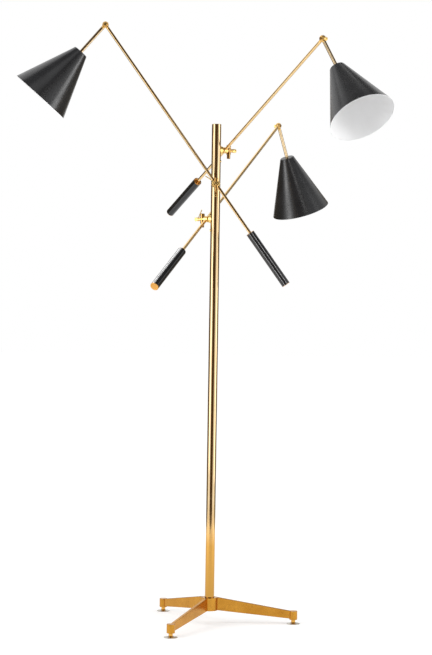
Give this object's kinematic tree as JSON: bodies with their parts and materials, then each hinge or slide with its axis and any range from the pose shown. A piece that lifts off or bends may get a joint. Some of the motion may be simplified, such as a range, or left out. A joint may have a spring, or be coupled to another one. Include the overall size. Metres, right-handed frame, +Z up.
{
  "type": "floor lamp",
  "caption": "Free-standing floor lamp: a round pole on a tripod base with tilting, counterweighted arms, each ending in a folding conical shade.",
  "frame": {"origin": "on the floor under the pole's axis, midway between the three feet", "axes": "+Z up along the pole; the middle arm's bracket points to -Y, and the right foot is 3 degrees from +X"},
  "size_m": [1.1347, 1.3316, 1.9207],
  "materials": {
    "pole_brass": "polished",
    "arm_brass": "polished",
    "base_brass": "polished",
    "fittings_brass": "polished",
    "feet_nickel": "polished",
    "steel": "satin",
    "handle_black": "satin",
    "shade_black": "satin",
    "holder": "satin",
    "bulb_glass": "satin"
  },
  "bodies": {
    "base": {"base_casting": "base_brass", "pole_tube": "pole_brass", "pole_cap": "pole_brass", "pole_stud": "steel", "pole_nut": "steel", "bracket_rosettes": "fittings_brass", "bracket_spindles": "fittings_brass", "pole_inner_nuts": "steel", "lead_blocks": "fittings_brass", "lead_glands": "fittings_brass", "pole_grommets": "fittings_brass"},
    "foot_right_body": {"foot_right": "feet_nickel"},
    "foot_rear_left_body": {"foot_rear_left": "feet_nickel"},
    "foot_front_left_body": {"foot_front_left": "feet_nickel"},
    "upper_lever": {"upper_lever_nut": "fittings_brass"},
    "upper_arm": {"upper_arm_block": "fittings_brass", "upper_arm_rod": "arm_brass", "upper_tail_rod": "arm_brass", "upper_handle_sleeve": "handle_black", "upper_handle_weight": "steel", "upper_handle_caps": "fittings_brass", "upper_arm_knuckle": "fittings_brass", "upper_elbow_screw": "fittings_brass"},
    "upper_thumb": {"upper_thumb_nut": "fittings_brass"},
    "upper_head": {"upper_stem_knuckle": "fittings_brass", "upper_stem": "arm_brass", "upper_shade": "shade_black", "upper_lampholder": "holder", "upper_bulb": "bulb_glass"},
    "middle_lever": {"middle_lever_nut": "fittings_brass"},
    "middle_arm": {"middle_arm_block": "fittings_brass", "middle_arm_rod": "arm_brass", "middle_tail_rod": "arm_brass", "middle_handle_sleeve": "handle_black", "middle_handle_weight": "steel", "middle_handle_caps": "fittings_brass", "middle_arm_knuckle": "fittings_brass", "middle_elbow_screw": "fittings_brass"},
    "middle_thumb": {"middle_thumb_nut": "fittings_brass"},
    "middle_head": {"middle_stem_knuckle": "fittings_brass", "middle_stem": "arm_brass", "middle_shade": "shade_black", "middle_lampholder": "holder", "middle_bulb": "bulb_glass"},
    "lower_lever": {"lower_lever_nut": "fittings_brass"},
    "lower_arm": {"lower_arm_block": "fittings_brass", "lower_arm_rod": "arm_brass", "lower_tail_rod": "arm_brass", "lower_handle_sleeve": "handle_black", "lower_handle_weight": "steel", "lower_handle_caps": "fittings_brass", "lower_arm_knuckle": "fittings_brass", "lower_elbow_screw": "fittings_brass"},
    "lower_thumb": {"lower_thumb_nut": "fittings_brass"},
    "lower_head": {"lower_stem_knuckle": "fittings_brass", "lower_stem": "arm_brass", "lower_shade": "shade_black", "lower_lampholder": "holder", "lower_bulb": "bulb_glass"}
  },
  "joints": [
    {"name": "foot_right_screw_height", "type": "slide", "parent": "base", "child": "foot_right_body", "axis": [0, 0, 1], "range_m": [-0.008, 0.008]},
    {"name": "foot_rear_left_screw_height", "type": "slide", "parent": "base", "child": "foot_rear_left_body", "axis": [0, 0, 1], "range_m": [-0.008, 0.008]},
    {"name": "foot_front_left_screw_height", "type": "slide", "parent": "base", "child": "foot_front_left_body", "axis": [0, 0, 1], "range_m": [-0.008, 0.008]},
    {"name": "upper_lever_turn", "type": "hinge", "parent": "base", "child": "upper_lever", "pos_m": [0.05378, 0.03105, 1.522], "axis": [0.866, 0.5, 0], "range_deg": [-90, 90]},
    {"name": "middle_lever_turn", "type": "hinge", "parent": "base", "child": "middle_lever", "pos_m": [0, -0.0621, 1.411], "axis": [0, -1, 0], "range_deg": [-90, 90]},
    {"name": "lower_lever_turn", "type": "hinge", "parent": "base", "child": "lower_lever", "pos_m": [-0.05378, 0.03105, 1.3], "axis": [-0.866, 0.5, 0], "range_deg": [-90, 90]},
    {"name": "upper_arm_tilt", "type": "hinge", "parent": "base", "child": "upper_arm", "pos_m": [0.0278, 0.01605, 1.522], "axis": [-0.866, -0.5, 0], "range_deg": [-48.5, 26.5]},
    {"name": "middle_arm_tilt", "type": "hinge", "parent": "base", "child": "middle_arm", "pos_m": [0, -0.0321, 1.411], "axis": [0, 1, 0], "range_deg": [-74.3, 5.7]},
    {"name": "lower_arm_tilt", "type": "hinge", "parent": "base", "child": "lower_arm", "pos_m": [-0.0278, 0.01605, 1.3], "axis": [0.866, -0.5, 0], "range_deg": [-54.5, 20.5]},
    {"name": "upper_shade_fold", "type": "hinge", "parent": "upper_arm", "child": "upper_head", "pos_m": [0.29804, -0.45201, 1.81545], "axis": [0.8548, 0.5175, 0.0383], "range_deg": [-71.5, 38.5]},
    {"name": "middle_shade_fold", "type": "hinge", "parent": "middle_arm", "child": "middle_head", "pos_m": [-0.35888, -0.0321, 1.91043], "axis": [-0.0213, -0.9997, -0.0153], "range_deg": [-93, 17]},
    {"name": "lower_shade_fold", "type": "hinge", "parent": "lower_arm", "child": "lower_head", "pos_m": [0.22562, 0.45498, 1.64834], "axis": [-0.8317, 0.5485, -0.0861], "range_deg": [-91.5, 18.5]},
    {"name": "upper_thumb_turn", "type": "hinge", "parent": "upper_arm", "child": "upper_thumb", "pos_m": [0.30744, -0.44632, 1.81587], "axis": [0.8548, 0.5175, 0.0383], "range_deg": [-90, 90]},
    {"name": "middle_thumb_turn", "type": "hinge", "parent": "middle_arm", "child": "middle_thumb", "pos_m": [-0.35911, -0.0431, 1.91026], "axis": [-0.0213, -0.9997, -0.0153], "range_deg": [-90, 90]},
    {"name": "lower_thumb_turn", "type": "hinge", "parent": "lower_arm", "child": "lower_thumb", "pos_m": [0.21647, 0.46102, 1.64739], "axis": [-0.8317, 0.5485, -0.0861], "range_deg": [-90, 90]}
  ]
}
